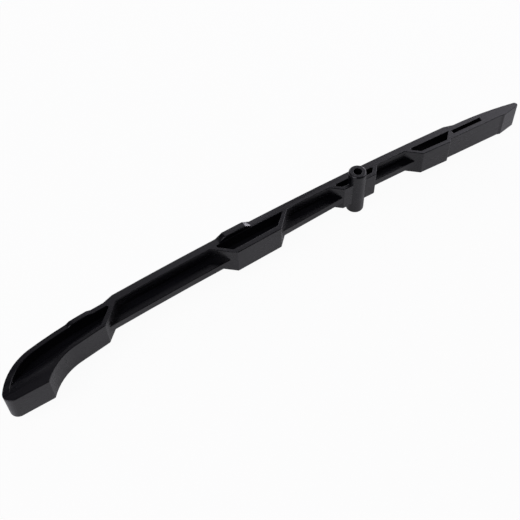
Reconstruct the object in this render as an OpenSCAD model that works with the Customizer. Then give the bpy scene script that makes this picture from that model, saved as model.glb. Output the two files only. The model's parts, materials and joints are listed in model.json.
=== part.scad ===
// Timing chain guide: one rail moulded in black glass-filled nylon.
// Origin: axis of the bolt bore, on the boss seat. X runs along the rail from the hook to the tip,
// +Y faces the chain and Z is the bolt axis. Sizes in millimetres.

/* [Rail] */
// Height of the rail along the bolt axis
rail_h = 21; // [18:0.5:24]
// Height of the rail's underside above the boss seat
rail_z = 10; // [6:0.5:16]
// Offset of the rail's zero mark from the bore axis, along the rail
rail_x = -0.7; // [-1.5:0.1:1.5]
// Thickness of the sliding wall
wall_t = 3.8; // [3:0.1:4.4]
// Radius of the sliding face along the middle of the rail
slide_r = 2948; // [2400:4:4000]
// Place of the sliding arc's crown along the rail
crown_x = -72; // [-90:1:-54]
// Distance of the crown from the bore axis
crown_y = 8.65; // [8.2:0.05:9.2]

/* [Chain lips] */
// Height of the two lips above the sliding face
lip_h = 2; // [1:0.1:3]
// Thickness of each lip along the bolt axis
lip_t = 2.2; // [1.4:0.1:3]
// Start of the lips beside the hook
lip_x0 = -203; // [-206:0.5:-198]
// End of the lips beside the tail
lip_x1 = 94.5; // [90:0.5:97]
// Length of the ramp at each end of a lip
lip_ramp = 6.5; // [4:0.5:10]

/* [Web] */
// Height of the web's upper face above the rail's underside
web_top = 12; // [10.5:0.1:13.5]
// Thickness of the web
web_t = 2.8; // [2:0.1:3.4]
// Depth of the web's front edge bead
bead_h = 6; // [4.5:0.1:7]
// Width of the web's front edge bead
bead_w = 2.6; // [2:0.1:3.2]
// Reach of the first bay's web behind the sliding face
bay1_d = 13.7; // [11:0.1:15]
// Reach of the second bay's web at the end block
bay2_d0 = 13.2; // [11:0.1:14.5]
// Reach of the second bay's web at the centre block
bay2_d1 = 10.7; // [9.8:0.1:10.8]
// Reach of the third bay's web
bay3_d = 9.5; // [8:0.1:10]

/* [Long block] */
// Front corner toward the hook
long_x0 = -107.2; // [-109:0.2:-102]
// Front corner toward the bore
long_x1 = -70.4; // [-76:0.2:-68]
// Depth behind the sliding face at the corner toward the hook
long_d0 = 17.2; // [15.8:0.1:18.2]
// Depth behind the sliding face at the corner toward the bore
long_d1 = 16.5; // [15.8:0.1:18.2]
// Spread of the end toward the hook, per unit of depth
long_lean0 = 1.1; // [0.8:0.05:1.2]
// Spread of the end toward the bore, per unit of depth
long_lean1 = 1.04; // [0.8:0.02:1.2]
// Thickness of the front wall
long_front_t = 4; // [3:0.1:4.6]

/* [Centre block] */
// Front corner toward the hook
centre_x0 = -12.6; // [-15:0.2:-11]
// Front corner toward the tip
centre_x1 = 15.2; // [12:0.2:16]
// Depth behind the sliding face
centre_d = 11.3; // [10.8:0.1:12]
// Spread of the end toward the hook, per unit of depth
centre_lean0 = 1.08; // [0.8:0.02:1.2]
// Spread of the end toward the tip, per unit of depth
centre_lean1 = 0.94; // [0.8:0.02:1.2]
// Thickness of the front wall
centre_front_t = 3.3; // [2.6:0.1:3.8]

/* [Short block] */
// Front corner toward the bore
short_x0 = 57; // [55:0.2:62]
// Front corner toward the tip
short_x1 = 81.4; // [79:0.2:82]
// Depth behind the sliding face at the corner toward the bore
short_d0 = 13; // [11.6:0.1:13.6]
// Depth behind the sliding face at the corner toward the tip
short_d1 = 13.5; // [12:0.1:14]
// Spread of both ends, per unit of depth
short_lean = 1.08; // [0.8:0.02:1.2]
// Thickness of the front wall
short_front_t = 3.4; // [2.4:0.1:4]

/* [Block walls] */
// Thickness of the end walls toward the hook
end_t0 = 2.7; // [2:0.1:3.2]
// Thickness of the end walls toward the tip
end_t1 = 3.2; // [2.2:0.1:3.6]

/* [Hook] */
// Start of the tighter arc of the sliding face
hook_x = -216; // [-219:0.5:-213]
// Radius of that arc
hook_r = 300; // [280:2:320]
// Start of the curl
curl_x = -258.5; // [-261:0.5:-256]
// Radius of the curl
curl_r = 39.5; // [38:0.5:41.5]
// Radius of the hollow inside the curl, whose wall grows toward the toe
curl_in_r = 33.5; // [31:0.5:34]
// Place of the hook's end face
hook_end_y = -29; // [-30:0.5:-27]
// Radius of the outer corner at the end face
hook_corner_r = 6; // [4:0.5:8]
// Radius of the hollow throat
throat_r = 38.5; // [37:0.5:40]
// Centre of the throat along the rail
throat_x = -227.3; // [-229:0.1:-226]
// Centre of the throat behind the bore axis
throat_y = -52.4; // [-53:0.1:-51.8]
// Front corner beside the first bay, along the rail
hook_front_x = -209.8; // [-212:0.2:-208]
// Front corner beside the first bay, behind the bore axis
hook_front_y = -11.4; // [-12.2:0.1:-11]
// Spread of the hook's end rib, per unit of depth
hook_lean = 1.09; // [0.9:0.01:1.2]
// Thickness of the end rib
hook_rib_t = 3.4; // [2.6:0.1:4]
// Thickness of the rim along the throat
hook_rim_t = 2.8; // [2:0.1:3.4]
// Radius of the rolled floor at the toe
roll_r = 16; // [13:0.5:22]
// Start of the rolled floor behind the bore axis, measured at the throat's mouth
roll_y = -22; // [-23:0.2:-20]
// Slant of the rolled floor's start line in degrees
roll_a = 8.4; // [4:0.2:12]
// Height by which the rolled floor runs out past the top
roll_edge = 0.3; // [0.2:0.1:1]
// Skin left above the toe's underside hollow
toe_skin = 3; // [2.4:0.1:4]

/* [Raised pads] */
// Height of the pad beside the long block
pad_h = 3.3; // [2:0.1:4]
// Foot of the pad toward the hook
pad_x0 = -114; // [-116:0.5:-112]
// Foot of the pad toward the bore
pad_x1 = -86; // [-90:0.5:-84]
// Length of the pad's ramps
pad_ramp = 5.8; // [4:0.2:8]
// Reach of the pad behind the sliding face
pad_d = 2.9; // [2:0.1:3]
// Height of the hook's pad
hook_pad_h = 1.3; // [0.8:0.1:2]
// Foot of the hook's pad toward the curl
hook_pad_x0 = -231.5; // [-234:0.5:-229]
// Foot of the hook's pad toward the bore
hook_pad_x1 = -212.5; // [-215:0.5:-210]
// Length of the hook pad's ramps
hook_pad_ramp = 3; // [2:0.2:5]

/* [Tail] */
// Start of the tighter arc toward the tip
tail_x = 99; // [97:0.5:104]
// Radius of that arc
tail_r = 295; // [260:5:340]
// Front face beside the short block, behind the bore axis
tail_y0 = -6.5; // [-7.2:0.1:-6]
// End of the front face along the rail
tail_x1 = 131.5; // [126:0.5:133]
// End of the front face behind the bore axis
tail_y1 = -8.9; // [-9.2:0.1:-8.4]
// Step at the end of the front face
tail_step = 0.95; // [0.5:0.05:1.4]
// Length of the step along the rail
tail_step_l = 2.9; // [1.5:0.1:4]
// Far end of the rail
tip_x = 150.4; // [147:0.2:153]
// Radius of the tip
tip_r = 2.2; // [1.6:0.1:3]
// Start of the tail slot
slot_x = 89.4; // [88:0.2:92]
// Middle of the tail slot at its start
slot_y = -1.5; // [-2:0.1:-1]
// Length of the tail slot
slot_l = 26.5; // [18:0.5:29]
// Width of the tail slot
slot_w = 2.9; // [2:0.1:3.2]
// Slant of the tail slot in degrees
slot_a = 3.1; // [2.4:0.1:4]

/* [Boss] */
// Outer diameter of the boss
boss_d = 13.3; // [11.5:0.1:14.5]
// Rise of the boss above the rail
boss_up = 8.3; // [5:0.1:14]
// Length of the bevel at the lower end of the boss
boss_bevel = 1.5; // [0.6:0.1:2]
// Length of the bevel at the upper end of the boss
boss_top_bevel = 0.8; // [0.4:0.1:2]
// Diameter of the bolt bore
bore_d = 6.2; // [5:0.1:7]

/* [Hidden] */
$fn = 96;
// Facet count for the long arcs
arc_fn = 720;
// Overlap between joined bodies and run-out of cuts
lap = 1;
// A length beyond the whole part
span = 700;
// Small overlap by which neighbouring arcs cross, so that they meet in one clean line
join = 0.02;
// Number of ramp lengths over which the lips' end cuts run out past the lips
ramp_runs = 6;
// Height of the web's lower face above the rail's underside
web_low = web_top - web_t;
boss_h = rail_z + rail_h + boss_up;
arc_c = [crown_x, crown_y - slide_r];

// Sliding face of the middle arc at a place along the rail
function face_y(x) = crown_y - slide_r + sqrt(slide_r * slide_r - (x - crown_x) * (x - crown_x));
// Turn of the face's normal at a place along the middle arc
function face_turn(x) = asin((crown_x - x) / slide_r);
// Centre of an arc of radius r that touches the face from within at p
function inner_centre(p, turn, r) = [p[0] + r * sin(turn), p[1] - r * cos(turn)];

hook_p = [hook_x, face_y(hook_x)];
hook_turn = face_turn(hook_x);
hook_c = inner_centre(hook_p, hook_turn, hook_r);
curl_turn = asin((hook_c[0] - curl_x) / hook_r);
curl_p = [curl_x, hook_c[1] + hook_r * cos(curl_turn)];
curl_c = inner_centre(curl_p, curl_turn, curl_r - 2 * join);
corner_dy = hook_end_y + hook_corner_r - join - curl_c[1];
corner_dx = sqrt(pow(curl_r + join - hook_corner_r, 2) - corner_dy * corner_dy);
corner_c = [curl_c[0] - corner_dx, curl_c[1] + corner_dy];
corner_turn = atan2(corner_dx, corner_dy);

tail_p = [tail_x, face_y(tail_x)];
tail_turn = face_turn(tail_x);
tail_c = inner_centre(tail_p, tail_turn, tail_r);
tip_turn = asin((tail_c[0] - tip_x + tip_r) / (tail_r - tip_r));
tip_c = [tip_x - tip_r, tail_c[1] + (tail_r - tip_r + 2 * join) * cos(tip_turn)];
step_p = [tail_x1 + tail_step_l, tail_y1 - tail_step];
tip_gap = norm(tip_c - step_p);
tip_touch_r = tip_r - join;
tip_run = sqrt(tip_gap * tip_gap - tip_touch_r * tip_touch_r);
tip_a = atan2(tip_c[1] - step_p[1], tip_c[0] - step_p[0]) - asin(tip_touch_r / tip_gap);
tip_foot = step_p + tip_run * [cos(tip_a), sin(tip_a)];

// Straight part of the throat, from its front corner to the point where it touches the hollow
throat_gap = norm([hook_front_x - throat_x, hook_front_y - throat_y]);
throat_touch_r = throat_r - join;
throat_a = atan2(hook_front_y - throat_y, hook_front_x - throat_x) + acos(throat_touch_r / throat_gap);
throat_p = [throat_x, throat_y] + throat_touch_r * [cos(throat_a), sin(throat_a)];
throat_mouth = throat_x - sqrt(throat_r * throat_r - pow(hook_end_y - throat_y, 2));

// Half planes beside a line through p that is turned from the Y axis
module right_of(p, turn) {
  translate(p) rotate(turn) translate([0, -span]) square([span, 2 * span]);
}

module left_of(p, turn) {
  translate(p) rotate(turn) translate([-span, -span]) square([span, 2 * span]);
}

module disc(c, r, facets = arc_fn) {
  translate(c) circle(r = r, $fn = facets);
}

// Plan of everything behind the sliding face, moved back by an inset, with a curl of its own radius
module behind_face(inset, bend_r) {
  intersection() {
    disc(arc_c, slide_r - inset);
    union() {
      right_of(hook_p, hook_turn);
      disc(inner_centre(hook_p, hook_turn, hook_r - join), hook_r - inset);
    }
    union() {
      right_of(curl_p, curl_turn);
      disc(inner_centre(curl_p, curl_turn, inset + bend_r - 2 * join), bend_r);
    }
    union() {
      left_of(tail_p, tail_turn);
      disc(inner_centre(tail_p, tail_turn, tail_r - join), tail_r - inset);
    }
  }
}

// Plan of a band between two depths behind the middle arc's face
module face_band(d0, d1, x0, x1) {
  intersection() {
    difference() {
      disc(arc_c, slide_r - d0);
      disc(arc_c, slide_r - d1);
    }
    translate([x0, -span]) square([x1 - x0, 2 * span]);
  }
}

// Plan of the sliding wall between two places along the rail, without the curl's far side
module wall_plan(x0, x1) {
  intersection() {
    difference() {
      behind_face(0, curl_r);
      behind_face(wall_t, curl_in_r);
    }
    translate([x0, hook_front_y]) square([x1 - x0, span]);
  }
}

module lip_plan() {
  intersection() {
    difference() {
      disc(arc_c, slide_r + lip_h);
      disc(arc_c, slide_r - lap);
    }
    polygon([
      [lip_x0, face_y(lip_x0)] - [lip_ramp, lip_h],
      [lip_x0, face_y(lip_x0)] + ramp_runs * [lip_ramp, lip_h],
      [lip_x1, face_y(lip_x1)] + ramp_runs * [-lip_ramp, lip_h],
      [lip_x1, face_y(lip_x1)] - [-lip_ramp, lip_h]
    ]);
  }
}

// Plan of a block behind the wall: its outline with insets of zero, its hollow with real ones
module block_plan(x0, d0, x1, d1, lean0, lean1, t0 = 0, tf = 0, t1 = 0) {
  y0 = face_y(x0) - d0;
  y1 = face_y(x1) - d1;
  e0 = t0 * sqrt(1 + lean0 * lean0);
  e1 = t1 * sqrt(1 + lean1 * lean1);
  polygon([
    [x0 + e0 - lean0 * (d0 - lap), y0 + d0 - lap],
    [x0 + e0 - lean0 * tf, y0 + tf],
    [x1 - e1 + lean1 * tf, y1 + tf],
    [x1 - e1 + lean1 * (d1 - lap), y1 + d1 - lap]
  ]);
}

module long_plan(t0 = 0, tf = 0, t1 = 0) {
  block_plan(long_x0, long_d0, long_x1, long_d1, long_lean0, long_lean1, t0, tf, t1);
}

module centre_plan(t0 = 0, tf = 0, t1 = 0) {
  block_plan(centre_x0, centre_d, centre_x1, centre_d, centre_lean0, centre_lean1, t0, tf, t1);
}

module short_plan(t0 = 0, tf = 0, t1 = 0) {
  block_plan(short_x0, short_d0, short_x1, short_d1, short_lean, short_lean, t0, tf, t1);
}

// Everything above the corner round at the hook's end
module hook_corner_plan() {
  right_of(corner_c, corner_turn);
  disc(corner_c, hook_corner_r, $fn);
  polygon([corner_c, [corner_c[0], hook_end_y], [throat_x, hook_end_y], [throat_x, curl_c[1] + curl_r]]);
}

// Plan of the hook, from its end face to the rib beside the first bay
module hook_plan() {
  rise = face_y(hook_front_x) - hook_front_y;
  beyond_face = hook_front_y + rise + rail_h;
  difference() {
    intersection() {
      behind_face(0, curl_r);
      hook_corner_plan();
      polygon([
        [curl_c[0] - 2 * curl_r, hook_end_y],
        [throat_x, hook_end_y],
        throat_p,
        [hook_front_x, hook_front_y],
        [hook_front_x + hook_lean * rise, hook_front_y + rise],
        [hook_front_x + hook_lean * rise, beyond_face],
        [curl_c[0] - 2 * curl_r, beyond_face]
      ]);
    }
    disc([throat_x, throat_y], throat_r);
  }
}

// Plan of the hook's hollow, open toward the end face by the given gap
module hook_hollow_plan(end_gap) {
  e = hook_rib_t * sqrt(1 + hook_lean * hook_lean);
  rise = face_y(hook_front_x) - hook_front_y;
  far_x = curl_c[0] - 2 * curl_r;
  difference() {
    intersection() {
      behind_face(wall_t, curl_in_r);
      polygon([
        [far_x, hook_end_y + end_gap],
        [throat_x, hook_end_y + end_gap],
        throat_p + [0, hook_rim_t],
        [hook_front_x - e + hook_lean * hook_rim_t, hook_front_y + hook_rim_t],
        [hook_front_x - e + hook_lean * rise, hook_front_y + rise],
        [far_x, hook_front_y + rise]
      ]);
    }
    disc([throat_x, throat_y], throat_r + hook_rim_t);
  }
}

// Plan of the tail, from inside the short block to the tip
module tail_plan() {
  intersection() {
    behind_face(0, curl_r);
    union() {
      polygon([
        [short_x1 - 2 * lap, 2 * crown_y],
        [short_x1 - 2 * lap, tail_y0],
        [tail_x1, tail_y1],
        step_p,
        tip_foot,
        tip_c,
        tip_c + 2 * crown_y * [-sin(tip_turn), cos(tip_turn)]
      ]);
      disc(tip_c, tip_r, $fn);
    }
  }
}

module slot_plan() {
  translate([slot_x, slot_y]) rotate(-slot_a) translate([0, -slot_w / 2]) square([slot_l, slot_w]);
}

// Plan of the second bay's web, whose reach changes along the bay
module bay2_plan(w) {
  y0 = face_y(long_x1) - bay2_d0;
  y1 = face_y(centre_x0) - bay2_d1;
  polygon([
    [long_x1, y0],
    [centre_x0, y1],
    [centre_x0, y1 + w],
    [long_x1, y0 + w]
  ]);
}

module web_plan() {
  face_band(lap, bay1_d, hook_front_x, long_x0);
  bay2_plan(bay2_d1 - 2 * lap);
  face_band(lap, bay3_d, centre_x1, short_x0);
}

module bead_plan() {
  face_band(bay1_d - bead_w, bay1_d, hook_front_x, long_x0);
  bay2_plan(bead_w);
  face_band(bay3_d - bead_w, bay3_d, centre_x1, short_x0);
}

module hollow_plan() {
  intersection() {
    behind_face(wall_t, curl_in_r);
    union() {
      long_plan(end_t0, long_front_t, end_t1);
      centre_plan(end_t0, centre_front_t, end_t1);
      short_plan(end_t0, short_front_t, end_t1);
    }
  }
  slot_plan();
}

// A ridge with ramps on a part of the rail's upper face
module ridge(x0, x1, ramp, rise) {
  intersection() {
    translate([0, 0, rail_h - lap]) linear_extrude(rise + 2 * lap) children();
    rotate([90, 0, 0]) linear_extrude(span, center = true) polygon([
      [x0 - ramp, rail_h - rise],
      [x0 + ramp, rail_h + rise],
      [x1 - ramp, rail_h + rise],
      [x1 + ramp, rail_h - rise]
    ]);
  }
}

// Hollow of the hook seen from above: its floor rolls up to the top near the end face
module hook_hollow() {
  difference() {
    translate([0, 0, web_top]) linear_extrude(rail_h - web_top + lap) hook_hollow_plan(0);
    translate([throat_mouth, roll_y, rail_h - roll_r + roll_edge]) rotate([0, 0, roll_a]) {
      rotate([0, 90, 0]) cylinder(r = roll_r, h = span, center = true);
      translate([-span / 2, -span, -rail_h]) cube([span, span, 3 * rail_h]);
    }
  }
}

// Hollow of the hook seen from below, deeper under the toe
module hook_underside() {
  translate([0, 0, -lap]) linear_extrude(web_low + lap) hook_hollow_plan(hook_rim_t);
  intersection() {
    translate([0, 0, -lap]) linear_extrude(rail_h - toe_skin + lap) hook_hollow_plan(hook_rim_t);
    translate([throat_mouth, roll_y, 0]) rotate([0, 0, roll_a]) translate([-span / 2, -span, -rail_h]) {
      cube([span, span, 3 * rail_h]);
    }
  }
}

module rail_body() {
  linear_extrude(rail_h) {
    wall_plan(hook_front_x - wall_t, short_x1);
    long_plan();
    centre_plan();
    short_plan();
    hook_plan();
    tail_plan();
  }
  linear_extrude(lip_t) lip_plan();
  translate([0, 0, rail_h - lip_t]) linear_extrude(lip_t) lip_plan();
  translate([0, 0, web_low]) linear_extrude(web_t) web_plan();
  translate([0, 0, web_top - bead_h]) linear_extrude(bead_h) bead_plan();
  ridge(pad_x0, pad_x1, pad_ramp, pad_h)
    face_band(-lip_h, pad_d, pad_x0 - 2 * pad_ramp, pad_x1 + 2 * pad_ramp);
  ridge(hook_pad_x0, hook_pad_x1, hook_pad_ramp, hook_pad_h)
    wall_plan(hook_pad_x0 - 2 * hook_pad_ramp, hook_pad_x1 + 2 * hook_pad_ramp);
}

module boss() {
  cylinder(d1 = boss_d - 2 * boss_bevel, d2 = boss_d, h = boss_bevel);
  translate([0, 0, boss_bevel]) cylinder(d = boss_d, h = boss_h - boss_bevel - boss_top_bevel);
  translate([0, 0, boss_h - boss_top_bevel])
    cylinder(d1 = boss_d, d2 = boss_d - 2 * boss_top_bevel, h = boss_top_bevel);
}

module guide_rail() {
  color([0.05, 0.05, 0.055])
  difference() {
    union() {
      translate([rail_x, 0, rail_z]) difference() {
        rail_body();
        translate([0, 0, web_top]) linear_extrude(rail_h) hollow_plan();
        translate([0, 0, -lap]) linear_extrude(web_low + lap) hollow_plan();
        hook_hollow();
        hook_underside();
      }
      boss();
    }
    translate([0, 0, -lap]) cylinder(d = bore_d, h = boss_h + 2 * lap);
  }
}

guide_rail();
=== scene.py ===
# %% [markdown]
# # A moulded timing chain guide
# A timing chain guide is a long plastic rail. The chain of an engine's camshaft drive slides along one
# side of it, and the other side is cored out into bays and hollow blocks that keep it stiff and light.
# This lesson takes the exact solid from CAD, rounds its edges as a mould does, gives it the look of
# black nylon with glass fibre, and lights it on a white table.

# %% Load the frame
import json
import math

import bmesh
import bpy
from mathutils import Matrix, Vector


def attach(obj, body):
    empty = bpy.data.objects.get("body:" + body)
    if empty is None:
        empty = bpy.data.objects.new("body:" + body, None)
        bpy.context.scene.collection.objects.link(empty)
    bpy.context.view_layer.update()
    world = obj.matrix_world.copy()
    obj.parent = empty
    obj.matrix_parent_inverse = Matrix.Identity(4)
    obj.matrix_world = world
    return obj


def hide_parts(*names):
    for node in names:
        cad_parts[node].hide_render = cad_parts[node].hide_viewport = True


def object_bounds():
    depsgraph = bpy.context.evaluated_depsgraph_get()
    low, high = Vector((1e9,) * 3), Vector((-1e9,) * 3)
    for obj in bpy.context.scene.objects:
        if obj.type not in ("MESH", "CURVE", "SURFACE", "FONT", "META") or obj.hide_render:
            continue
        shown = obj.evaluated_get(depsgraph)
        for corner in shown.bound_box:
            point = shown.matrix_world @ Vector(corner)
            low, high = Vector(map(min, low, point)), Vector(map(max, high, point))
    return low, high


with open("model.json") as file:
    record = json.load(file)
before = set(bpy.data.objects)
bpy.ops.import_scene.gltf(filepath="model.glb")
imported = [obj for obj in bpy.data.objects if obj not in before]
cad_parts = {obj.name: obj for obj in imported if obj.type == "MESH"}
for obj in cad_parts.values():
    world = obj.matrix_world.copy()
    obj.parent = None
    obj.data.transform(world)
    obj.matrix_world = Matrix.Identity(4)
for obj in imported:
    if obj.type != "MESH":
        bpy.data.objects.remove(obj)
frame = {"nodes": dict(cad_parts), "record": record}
cad_low, cad_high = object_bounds()
MM = 0.001
print("CAD box:", [round(side / MM, 1) for side in cad_high - cad_low], "mm")

# %% [markdown]
# ## The camera
# The photograph looks down on the rail from the hook's side. A camera could be aimed with a Track To
# constraint, but three turns say the same more plainly: tilt up from straight down, turn round the
# upright axis, and then roll about the line of sight. The lens and the distance come from matching the
# rail's own outline, so its far end shrinks as it does in the photograph.

# %% Camera at the photograph's angle
SENSOR_MM = 36
LENS_MM = 62.3
AZIMUTH = math.radians(-31.4)
ELEVATION = math.radians(53.1)
ROLL = math.radians(1.9)
DISTANCE = 636.8 * MM
LOOK_AT = Vector((-90.7, -9.6, 11.0)) * MM

turn = (Matrix.Rotation(AZIMUTH, 3, "Z")
        @ Matrix.Rotation(math.pi / 2 - ELEVATION, 3, "X")
        @ Matrix.Rotation(-ROLL, 3, "Z"))
camera_data = bpy.data.cameras.new("photo_camera")
camera_data.sensor_width = SENSOR_MM
camera_data.lens = LENS_MM
camera = bpy.data.objects.new("photo_camera", camera_data)
bpy.context.scene.collection.objects.link(camera)
camera.matrix_world = Matrix.LocRotScale(LOOK_AT + turn @ Vector((0, 0, DISTANCE)), turn, None)
bpy.context.scene.camera = camera
print("camera stands at", [round(c / MM) for c in camera.matrix_world.translation], "mm")

# %% [markdown]
# ## The rail with its moulded edges
# A mould cutter leaves no knife edges: every rim of the rail has a small radius, and that radius is what
# draws the thin highlights along a black part. Sculpting or remeshing would lose the flat faces, so the
# CAD mesh is copied, its loose triangles are merged, and coplanar ones are dissolved into whole faces.

# %% Copy and merge the solid
MERGE = 0.002 * MM
FLAT_WITHIN = math.radians(0.3)

rail_bm = bmesh.new()
rail_bm.from_mesh(frame["nodes"]["guide_rail"].data)
bmesh.ops.remove_doubles(rail_bm, verts=rail_bm.verts, dist=MERGE)
bmesh.ops.dissolve_limit(rail_bm, angle_limit=FLAT_WITHIN, verts=rail_bm.verts[:],
                         edges=rail_bm.edges[:], use_dissolve_boundaries=False)
print("rail:", len(rail_bm.verts), "vertices,", len(rail_bm.faces), "faces")

# %% [markdown]
# The hollows narrow to a point where a leaning end wall meets the sliding wall. A mould core with such a
# thin edge would break, so the real corner is filled with a generous fillet. A boolean with a small
# prism would do, but a bevel on the upright inner edge follows both walls by itself. A corner is left
# alone where a face beside it is narrower than the fillet, or where a fourth edge ends in it: there the
# bevel would run past the face or fold over.

# %% Choose the corners of the hollows
CORNER_RUN = 2.4 * MM
CORNER_ROOM = 1.3 * CORNER_RUN
# Angles between the normals of two faces: past the first a corner is acute, past the second it is a slit.
ACUTE = math.radians(110)
CRACK = math.radians(170)
# The share of an upright edge's length that lies along the bolt axis.
PLUMB = 0.99


def upright(edge):
    """Whether an edge runs along the bolt axis."""
    run = edge.verts[1].co - edge.verts[0].co
    return abs(run.z) > PLUMB * run.length


def roomy(edge):
    """Whether both faces at an upright edge are wide enough for the fillet."""
    foot = edge.verts[0].co.xy
    return all(max((vert.co.xy - foot).length for vert in face.verts) > CORNER_ROOM
               for face in edge.link_faces)


def plain_ends(edge):
    """Whether only three edges meet at each end, so that a bevel closes there without a fold."""
    return all(len(vert.link_edges) == 3 for vert in edge.verts)


corners = [edge for edge in rail_bm.edges
           if upright(edge) and not edge.is_convex and ACUTE < edge.calc_face_angle(0) < CRACK
           and roomy(edge) and plain_ends(edge)]
print(len(corners), "acute corners to fill")

# %% Fill them
CORNER_STEPS = 4

bmesh.ops.bevel(rail_bm, geom=corners, offset=CORNER_RUN, offset_type="OFFSET", segments=CORNER_STEPS,
                profile=0.5, affect="EDGES", clamp_overlap=False, loop_slide=True, material=-1)
print("with fillets:", len(rail_bm.faces), "faces")

# %% [markdown]
# Now the rims. Only outer edges are rounded: the inner ones are cut by the sharp rim of the mould's core,
# and a bevel there would have to squeeze past the thin webs. The bore gets a smaller radius than the
# rest, since a bolt's shank runs close to its edge. A Bevel modifier could do it with an angle limit, but
# it can't tell outer edges from inner ones, so the edges are picked here.

# %% Choose the outer edges
SHARP = math.radians(25)
STRAIGHT = math.radians(5)
BORE_RADIUS = frame["record"]["mounts"][0]["dims"]["r_mm"] * MM
BORE_SLACK = 0.02 * MM


def sharp(edge):
    """Whether an edge is more than a step between two facets of a curve."""
    return edge.calc_face_angle(0) > SHARP


def fades(edge):
    """Whether an outer edge runs straight on as an inner one, where a bevel has no end."""
    for vert in edge.verts:
        run = edge.other_vert(vert).co - vert.co
        for other in vert.link_edges:
            onward = vert.co - other.other_vert(vert).co
            if sharp(other) and not other.is_convex and run.angle(onward) < STRAIGHT:
                return True
    return False


def at_bore(edge):
    """Whether an edge lies on the wall of the bolt bore."""
    return all(abs(vert.co.xy.length - BORE_RADIUS) < BORE_SLACK for vert in edge.verts)


outer_edges = [edge for edge in rail_bm.edges if edge.is_convex and sharp(edge) and not fades(edge)]
bore_edges = [edge for edge in outer_edges if at_bore(edge)]
rail_edges = [edge for edge in outer_edges if not at_bore(edge)]
print(len(outer_edges), "outer edges to round,", len(bore_edges), "of them at the bore")

# %% Round them
RIM_RADIUS = 0.25 * MM
EDGE_RADIUS = 0.5 * MM
EDGE_STEPS = 3
# An edge that still turns by more than this keeps a hard line in the shading.
CREASE = math.radians(45)

for edges, radius in ((bore_edges, RIM_RADIUS), (rail_edges, EDGE_RADIUS)):
    bmesh.ops.bevel(rail_bm, geom=edges, offset=radius, offset_type="OFFSET", segments=EDGE_STEPS,
                    profile=0.5, affect="EDGES", clamp_overlap=False, loop_slide=False, material=-1)
for face in rail_bm.faces:
    face.smooth = True
for edge in rail_bm.edges:
    edge.smooth = edge.calc_face_angle(0) < CREASE
rail_mesh = bpy.data.meshes.new("moulded_rail")
rail_bm.to_mesh(rail_mesh)
rail_bm.free()
print("rounded rail:", len(rail_mesh.polygons), "faces")

# %% [markdown]
# Smooth shading alone would blur light across the flat faces, because each corner averages all the
# faces that meet there. The Weighted Normal modifier lets the large faces win, so they stay flat and
# only the small bevel faces carry the curve. The inner edges were marked sharp above, and the modifier
# keeps them so.

# %% Put the rail in the scene
rail = bpy.data.objects.new("moulded_rail", rail_mesh)
bpy.context.scene.collection.objects.link(rail)
normals = rail.modifiers.new("flat faces stay flat", "WEIGHTED_NORMAL")
normals.mode = "FACE_AREA"
normals.keep_sharp = True
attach(rail, "root")
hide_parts("guide_rail")
print(rail.name, "stands for the CAD node guide_rail")

# %% [markdown]
# ## Black nylon with glass fibre
# The rail is polyamide 66 with glass fibre, coloured through with carbon black and moulded against
# spark-eroded steel. To the eye that is a very dark, slightly cool grey with a satin sheen: the fine
# eroded grain breaks up reflections, and the flow of the melt along the rail leaves faint streaks that
# are a little glossier or duller. A picture of such plastic could be wrapped round the rail, but noise
# needs no unwrapping: fine grain is a bump, long streaks vary the roughness and soft clouds the colour.

# %% Helpers for materials
def linear(hex_colour):
    """The linear RGBA of an sRGB hex colour, by the standard sRGB curve."""
    channels = [int(hex_colour[i:i + 2], 16) / 255 for i in (1, 3, 5)]
    return [c / 12.92 if c <= 0.04045 else ((c + 0.055) / 1.055) ** 2.4 for c in channels] + [1.0]


def add_node(tree, kind, settings=None, **inputs):
    """A new node with its settings. Each input is a socket's name, or i and its number, and it takes
    a value or another node's socket to link."""
    node = tree.nodes.new(kind)
    for name, value in (settings or {}).items():
        setattr(node, name, value)
    for name, value in inputs.items():
        numbered = name[0] == "i" and name[1:].isdigit()
        socket = node.inputs[int(name[1:]) if numbered else name.replace("_", " ")]
        if isinstance(value, bpy.types.NodeSocket):
            tree.links.new(value, socket)
        else:
            socket.default_value = value
    return node


# %% Grain, clouds and streaks
# Real eroded grain is about 0.1 mm. It is drawn coarser here, because it would be too fine to show.
GRAIN_MM = 0.45
CLOUD_MM = 30
STREAK_MM = 2.5
STREAK_STRETCH = 0.06

nylon = bpy.data.materials.new("glass-filled nylon, satin as moulded")
nylon.use_nodes = True
tree = nylon.node_tree
place = add_node(tree, "ShaderNodeTexCoord").outputs["Object"]
grain = add_node(tree, "ShaderNodeTexNoise", Vector=place, Scale=1 / (GRAIN_MM * MM), Detail=3.0,
                 Roughness=0.6)
clouds = add_node(tree, "ShaderNodeTexNoise", Vector=place, Scale=1 / (CLOUD_MM * MM), Detail=2.0)
along = add_node(tree, "ShaderNodeMapping", Vector=place, Scale=(STREAK_STRETCH, 1.0, 1.0))
streaks = add_node(tree, "ShaderNodeTexNoise", Vector=along.outputs["Vector"],
                   Scale=1 / (STREAK_MM * MM), Detail=3.0)
print("patterns: grain", GRAIN_MM, "mm, streaks", STREAK_MM, "mm, clouds", CLOUD_MM, "mm")

# %% The nylon's colour, sheen and grain
DEEP_BLACK = linear("#08080b")
CLOUDED_BLACK = linear("#0d0d11")
STREAK_LOW, STREAK_HIGH = 0.3, 0.7
GLOSSIER, DULLER = 0.24, 0.34
GRAIN_STRENGTH = 0.25
GRAIN_DEPTH = 0.02 * MM
NYLON_IOR = 1.53

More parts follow.
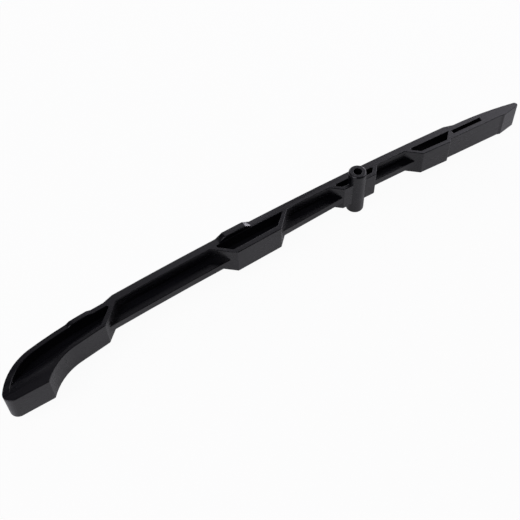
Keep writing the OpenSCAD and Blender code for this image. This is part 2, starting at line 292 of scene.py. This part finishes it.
shader = tree.nodes["Principled BSDF"]
colour = add_node(tree, "ShaderNodeMix", {"data_type": "RGBA"}, i0=clouds.outputs["Fac"],
                  i6=DEEP_BLACK, i7=CLOUDED_BLACK)
sheen = add_node(tree, "ShaderNodeMapRange", Value=streaks.outputs["Fac"], From_Min=STREAK_LOW,
                 From_Max=STREAK_HIGH, To_Min=GLOSSIER, To_Max=DULLER)
bump = add_node(tree, "ShaderNodeBump", Height=grain.outputs["Fac"], Strength=GRAIN_STRENGTH,
                Distance=GRAIN_DEPTH)
tree.links.new(colour.outputs[2], shader.inputs["Base Color"])
tree.links.new(sheen.outputs["Result"], shader.inputs["Roughness"])
tree.links.new(bump.outputs["Normal"], shader.inputs["Normal"])
shader.inputs["IOR"].default_value = NYLON_IOR
rail_mesh.materials.append(nylon)
print("material:", nylon.name)

# %% [markdown]
# ## The white table
# The part was photographed on white. Strong lamps on a pale sheet could give that white, but they would
# bleach the rail too. So the sheet is mixed from two surfaces: the camera sees mostly an even white, and
# reflections see a little of it. The rest is matt paper, which the lamps light, so the rail still has a
# soft shadow under it.

# %% Floor
FLOOR_SIDE = 6.0
FLOOR_GAP = 0.2 * MM

floor_bm = bmesh.new()
bmesh.ops.create_grid(floor_bm, x_segments=1, y_segments=1, size=FLOOR_SIDE / 2)
bmesh.ops.translate(floor_bm, verts=floor_bm.verts, vec=(0, 0, cad_low.z - FLOOR_GAP))
floor_mesh = bpy.data.meshes.new("table")
floor_bm.to_mesh(floor_mesh)
floor_bm.free()
floor = bpy.data.objects.new("table", floor_mesh)
bpy.context.scene.collection.objects.link(floor)
print("table:", FLOOR_SIDE, "m square")

# %% White paper on the floor
CAMERA_SHARE = 0.95
REFLECTED_SHARE = 0.15

paper = bpy.data.materials.new("white paper sheet")
paper.use_nodes = True
tree = paper.node_tree
tree.nodes.remove(tree.nodes["Principled BSDF"])
rays = add_node(tree, "ShaderNodeLightPath").outputs
seen_in = add_node(tree, "ShaderNodeMath", {"operation": "MAXIMUM"}, i0=rays["Is Glossy Ray"],
                   i1=rays["Is Transmission Ray"])
reflected = add_node(tree, "ShaderNodeMath", {"operation": "MULTIPLY"},
                     i0=seen_in.outputs["Value"], i1=REFLECTED_SHARE)
share = add_node(tree, "ShaderNodeMath", {"operation": "MULTIPLY_ADD"}, i0=rays["Is Camera Ray"],
                 i1=CAMERA_SHARE, i2=reflected.outputs["Value"])
matt = add_node(tree, "ShaderNodeBsdfDiffuse", Color=linear("#f4f4f4"))
white = add_node(tree, "ShaderNodeEmission", Color=linear("#ffffff"), Strength=1.0)
mixed = add_node(tree, "ShaderNodeMixShader", i0=share.outputs["Value"], i1=matt.outputs["BSDF"],
                 i2=white.outputs["Emission"])
tree.links.new(mixed.outputs["Shader"], tree.nodes["Material Output"].inputs["Surface"])
floor_mesh.materials.append(paper)
print("floor material:", paper.name)

# %% [markdown]
# ## Studio light
# Black plastic shows its lights more than its colour. Two big softboxes, left and right, light the
# table, and the upright faces of the rail mirror that table; they stand where none of the rail's flat
# faces throw them at the camera. Weak softboxes behind the rail are what its top faces mirror, a little
# more toward the tip, and a small one near the table draws the white glint on the pad's ramp. An
# environment picture could do the same, but lamps can be moved one at a time.

# %% Lamps
LAMP_DISTANCE = 1.3
LAMP_TINT = linear("#f7f4ff")[:3]
# Azimuth and elevation in degrees, side in metres, power in watts.
SOFTBOXES = {
    "left_softbox": (-80, 45, 0.9, 8.4),
    "right_softbox": (90, 34, 0.9, 5.4),
    "back_softbox": (160, 28, 0.7, 3.2),
    "back_right_softbox": (118, 38, 0.6, 1.2),
    "high_softbox": (168, 44, 0.6, 0.5),
    "ramp_glint": (120, 8, 0.25, 2.2),
}

for name, (azimuth, elevation, side, watts) in SOFTBOXES.items():
    a, e = math.radians(azimuth), math.radians(elevation)
    toward = Vector((math.sin(a) * math.cos(e), -math.cos(a) * math.cos(e), math.sin(e)))
    lamp_data = bpy.data.lights.new(name, "AREA")
    lamp_data.size = side
    lamp_data.energy = watts
    lamp_data.color = LAMP_TINT
    lamp = bpy.data.objects.new(name, lamp_data)
    bpy.context.scene.collection.objects.link(lamp)
    lamp.location = (cad_low + cad_high) / 2 + toward * LAMP_DISTANCE
    lamp.rotation_euler = toward.to_track_quat("Z", "Y").to_euler()
print(len(SOFTBOXES), "softboxes,", round(sum(box[-1] for box in SOFTBOXES.values()), 1), "W in all")

# %% [markdown]
# The room itself is dark, so the deep hollows go black. Only the camera sees the world as a backdrop, in
# the tone that the table has far from the lamps, so no line shows where the table ends. A wall behind the
# table could do the same, but it would throw light back on the rail.

# %% Room
world = bpy.data.worlds.new("dark room, pale to the camera")
bpy.context.scene.world = world
world.use_nodes = True
tree = world.node_tree
room = tree.nodes["Background"]
room.inputs["Strength"].default_value = 0.0
backdrop = add_node(tree, "ShaderNodeBackground", Color=linear("#f9f9f9"), Strength=1.0)
rays = add_node(tree, "ShaderNodeLightPath").outputs
both = add_node(tree, "ShaderNodeMixShader", i0=rays["Is Camera Ray"], i1=room.outputs["Background"],
                i2=backdrop.outputs["Background"])
tree.links.new(both.outputs["Shader"], tree.nodes["World Output"].inputs["Surface"])
bpy.context.scene.view_settings.view_transform = "Standard"
print("world:", world.name)
